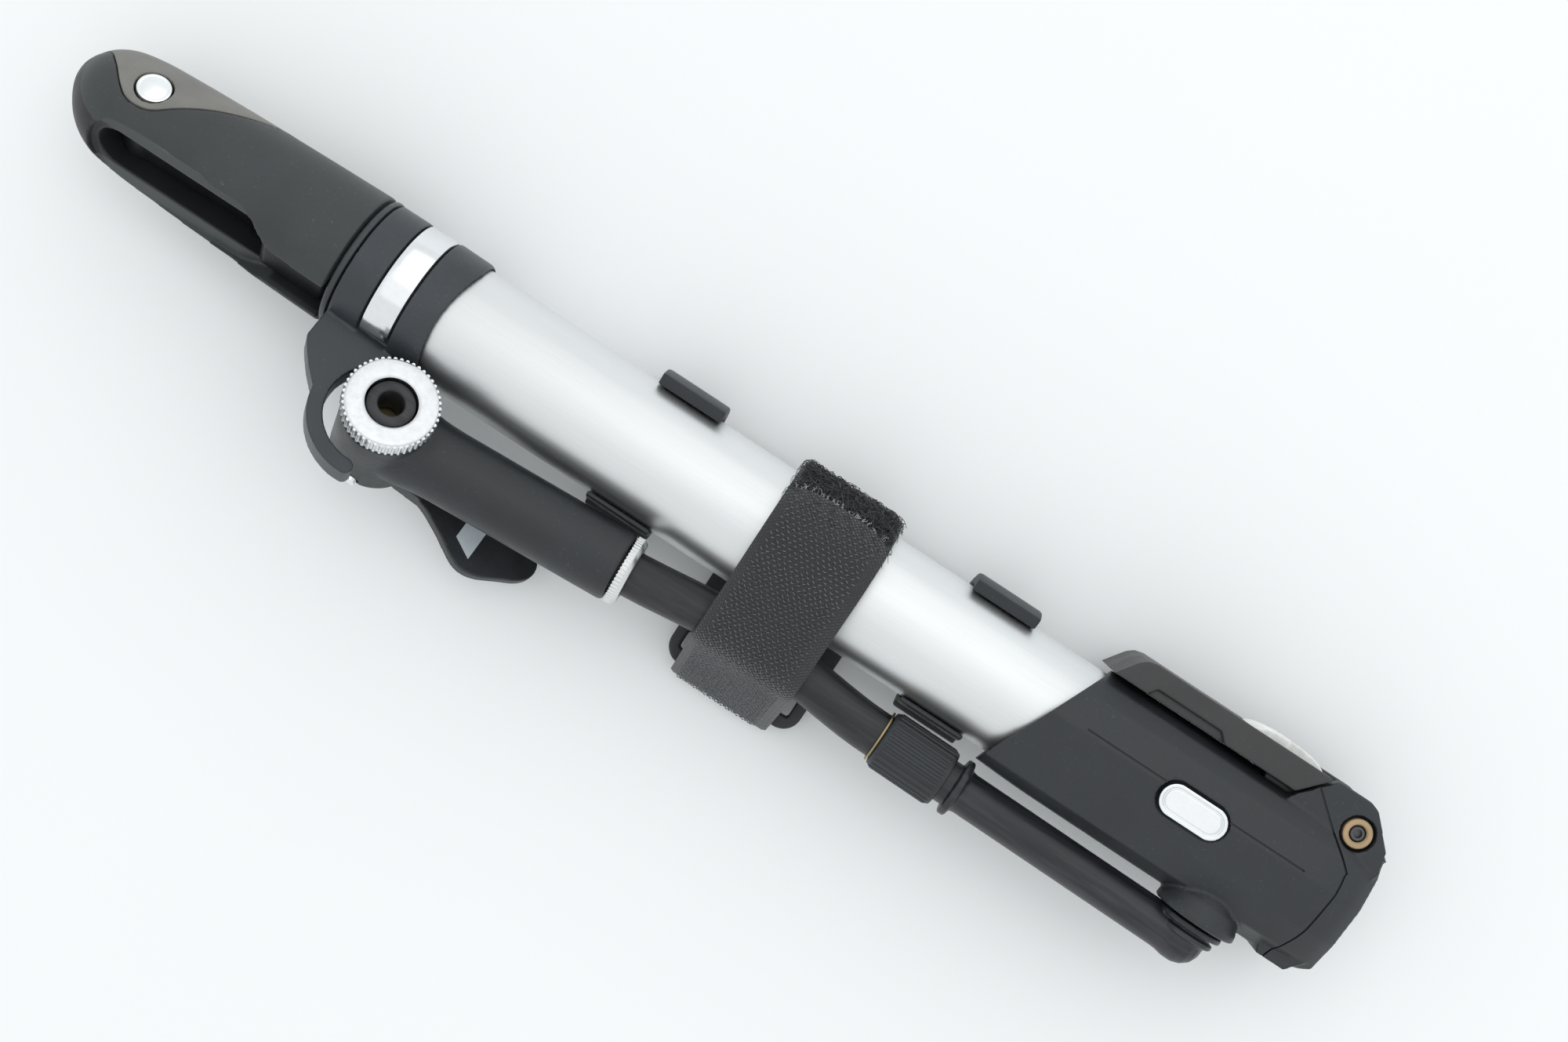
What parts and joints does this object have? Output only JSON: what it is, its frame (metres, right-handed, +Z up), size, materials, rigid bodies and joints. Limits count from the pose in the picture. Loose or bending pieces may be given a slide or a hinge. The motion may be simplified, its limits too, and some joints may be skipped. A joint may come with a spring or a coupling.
{
  "type": "mini bicycle pump",
  "caption": "Pocket bicycle pump with a folding T-handle, a swivelling side hose with a lever valve head, a fold-out foot rest and a strapped frame bracket.",
  "frame": {"origin": "on the frame bracket's resting face, straight below the barrel's axis", "axes": "+X along the barrel from the handle to the base, +Y towards the folding foot rest, +Z up, away from the bicycle frame"},
  "size_m": [0.2609, 0.0558, 0.0354],
  "materials": {
    "handle_grip": "soft-touch, fine grain",
    "handle_accent": "soft-touch, warm grey",
    "black_plastic": "fine mould texture",
    "barrel_metal": "satin anodised",
    "nut_metal": "satin, turned",
    "chrome": "polished",
    "brass": "turned",
    "bronze": "dull bronze",
    "steel": "zinc plated",
    "white_plastic": "smooth",
    "seal_rubber": "smooth",
    "hose_rubber": "satin, smooth",
    "cream_rubber": "matte",
    "webbing": "woven hook-and-loop tape"
  },
  "bodies": {
    "pump_body": {"barrel": "barrel_metal", "head_cradle_collar": "black_plastic", "collar_band": "chrome", "rod_guide_cap": "black_plastic", "rod_wiper": "seal_rubber", "rod_bush": "white_plastic", "base_housing": "black_plastic", "base_badge": "chrome", "barrel_end_plug": "white_plastic", "barrel_o_ring": "seal_rubber", "check_valve_disc": "seal_rubber", "check_valve_spring": "steel", "frame_bracket": "black_plastic", "strap_loop_tape": "webbing", "foot_hinge_screw": "steel", "foot_hinge_sleeve": "bronze", "foot_hinge_nut": "steel"},
    "piston_assembly": {"piston": "white_plastic", "piston_seal": "seal_rubber", "piston_screw": "steel"},
    "rod_assembly": {"piston_rod": "barrel_metal", "rod_end_arm": "black_plastic", "arm_cross_pin": "steel"},
    "handle": {"handle_shell": "handle_grip", "handle_accent": "handle_accent", "handle_pin": "chrome", "handle_pin_cap": "chrome"},
    "foot": {"foot_pad": "black_plastic", "foot_rubber": "cream_rubber"},
    "hose_line": {"swivel_elbow": "black_plastic", "swivel_o_ring": "seal_rubber", "union_ferrule": "brass", "hose": "hose_rubber", "hose_barb": "brass", "head_body": "black_plastic", "valve_gasket": "seal_rubber", "gasket_plunger": "brass", "lever_pin": "chrome"},
    "union_nut": {"union_nut": "black_plastic"},
    "coupling_ring": {"coupling_ring": "chrome"},
    "valve_nut": {"valve_nut": "nut_metal"},
    "lever": {"lock_lever": "black_plastic"},
    "strap_flap": {"strap_hook_tape": "webbing"}
  },
  "joints": [
    {"name": "rod_slide", "type": "slide", "parent": "pump_body", "child": "piston_assembly", "axis": [-1, 0, 0], "range_m": [0, 0.12]},
    {"name": "rod_spin", "type": "hinge", "parent": "piston_assembly", "child": "rod_assembly", "pos_m": [0, 0, 0.0161], "axis": [1, 0, 0], "continuous": true},
    {"name": "handle_fold", "type": "hinge", "parent": "rod_assembly", "child": "handle", "pos_m": [-0.116, 0, 0.0161], "axis": [0, 0.5878, 0.809], "range_deg": [0, 90]},
    {"name": "foot_fold", "type": "hinge", "parent": "pump_body", "child": "foot", "pos_m": [0.1221, 0.0122, 0.0161], "axis": [0, 0, -1], "range_deg": [0, 90]},
    {"name": "hose_swivel", "type": "hinge", "parent": "pump_body", "child": "hose_line", "pos_m": [0.108, -0.0194, 0.0216], "axis": [0, 1, 0], "range_deg": [0, 180]},
    {"name": "union_nut_spin", "type": "hinge", "parent": "hose_line", "child": "union_nut", "pos_m": [0.053, -0.01898, 0.01911], "axis": [0.9989, -0.0076, 0.0453], "continuous": true},
    {"name": "coupling_ring_spin", "type": "hinge", "parent": "hose_line", "child": "coupling_ring", "pos_m": [-0.005, -0.01895, 0.0201], "axis": [0.9984, 0.0553, -0.0089], "continuous": true},
    {"name": "valve_nut_spin", "type": "hinge", "parent": "hose_line", "child": "valve_nut", "pos_m": [-0.0525, -0.01554, 0.0313], "axis": [0.0698, 0.4909, 0.8684], "continuous": true},
    {"name": "lever_lock", "type": "hinge", "parent": "hose_line", "child": "lever", "pos_m": [-0.05387, -0.02521, 0.01419], "axis": [0, 0.8705, -0.4921], "range_deg": [0, 90]},
    {"name": "strap_open", "type": "hinge", "parent": "pump_body", "child": "strap_flap", "pos_m": [0.0203, -0.0282, 0.00335], "axis": [1, 0, 0], "range_deg": [0, 110]}
  ]
}
